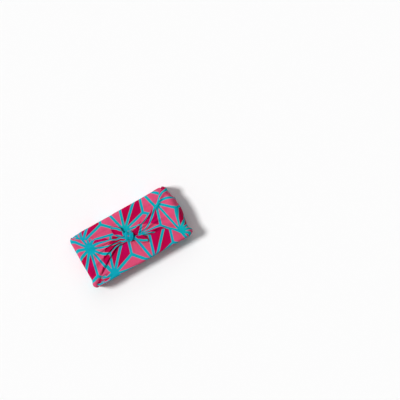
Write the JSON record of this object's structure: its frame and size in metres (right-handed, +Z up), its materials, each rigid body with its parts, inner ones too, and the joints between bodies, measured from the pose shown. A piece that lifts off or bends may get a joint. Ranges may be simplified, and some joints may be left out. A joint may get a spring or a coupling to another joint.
{
  "type": "furoshiki wrap",
  "caption": "Square cotton wrapping cloth folded into a flat box-shaped parcel, with two pleated end flaps tied on top in a square knot with short tails.",
  "frame": {"origin": "on the flat base, in the middle of the wrap, 3 mm in front of the knot", "axes": "+X along the wrap towards its slack end, +Y from the front long side to the back long side where the tip hangs, +Z up"},
  "size_m": [0.2672, 0.1344, 0.0666],
  "materials": {
    "printed_cotton": "plain-woven cotton, printed teal, crimson and pink, matt"
  },
  "bodies": {
    "root": {"wrap": "printed_cotton"}
  },
  "joints": []
}
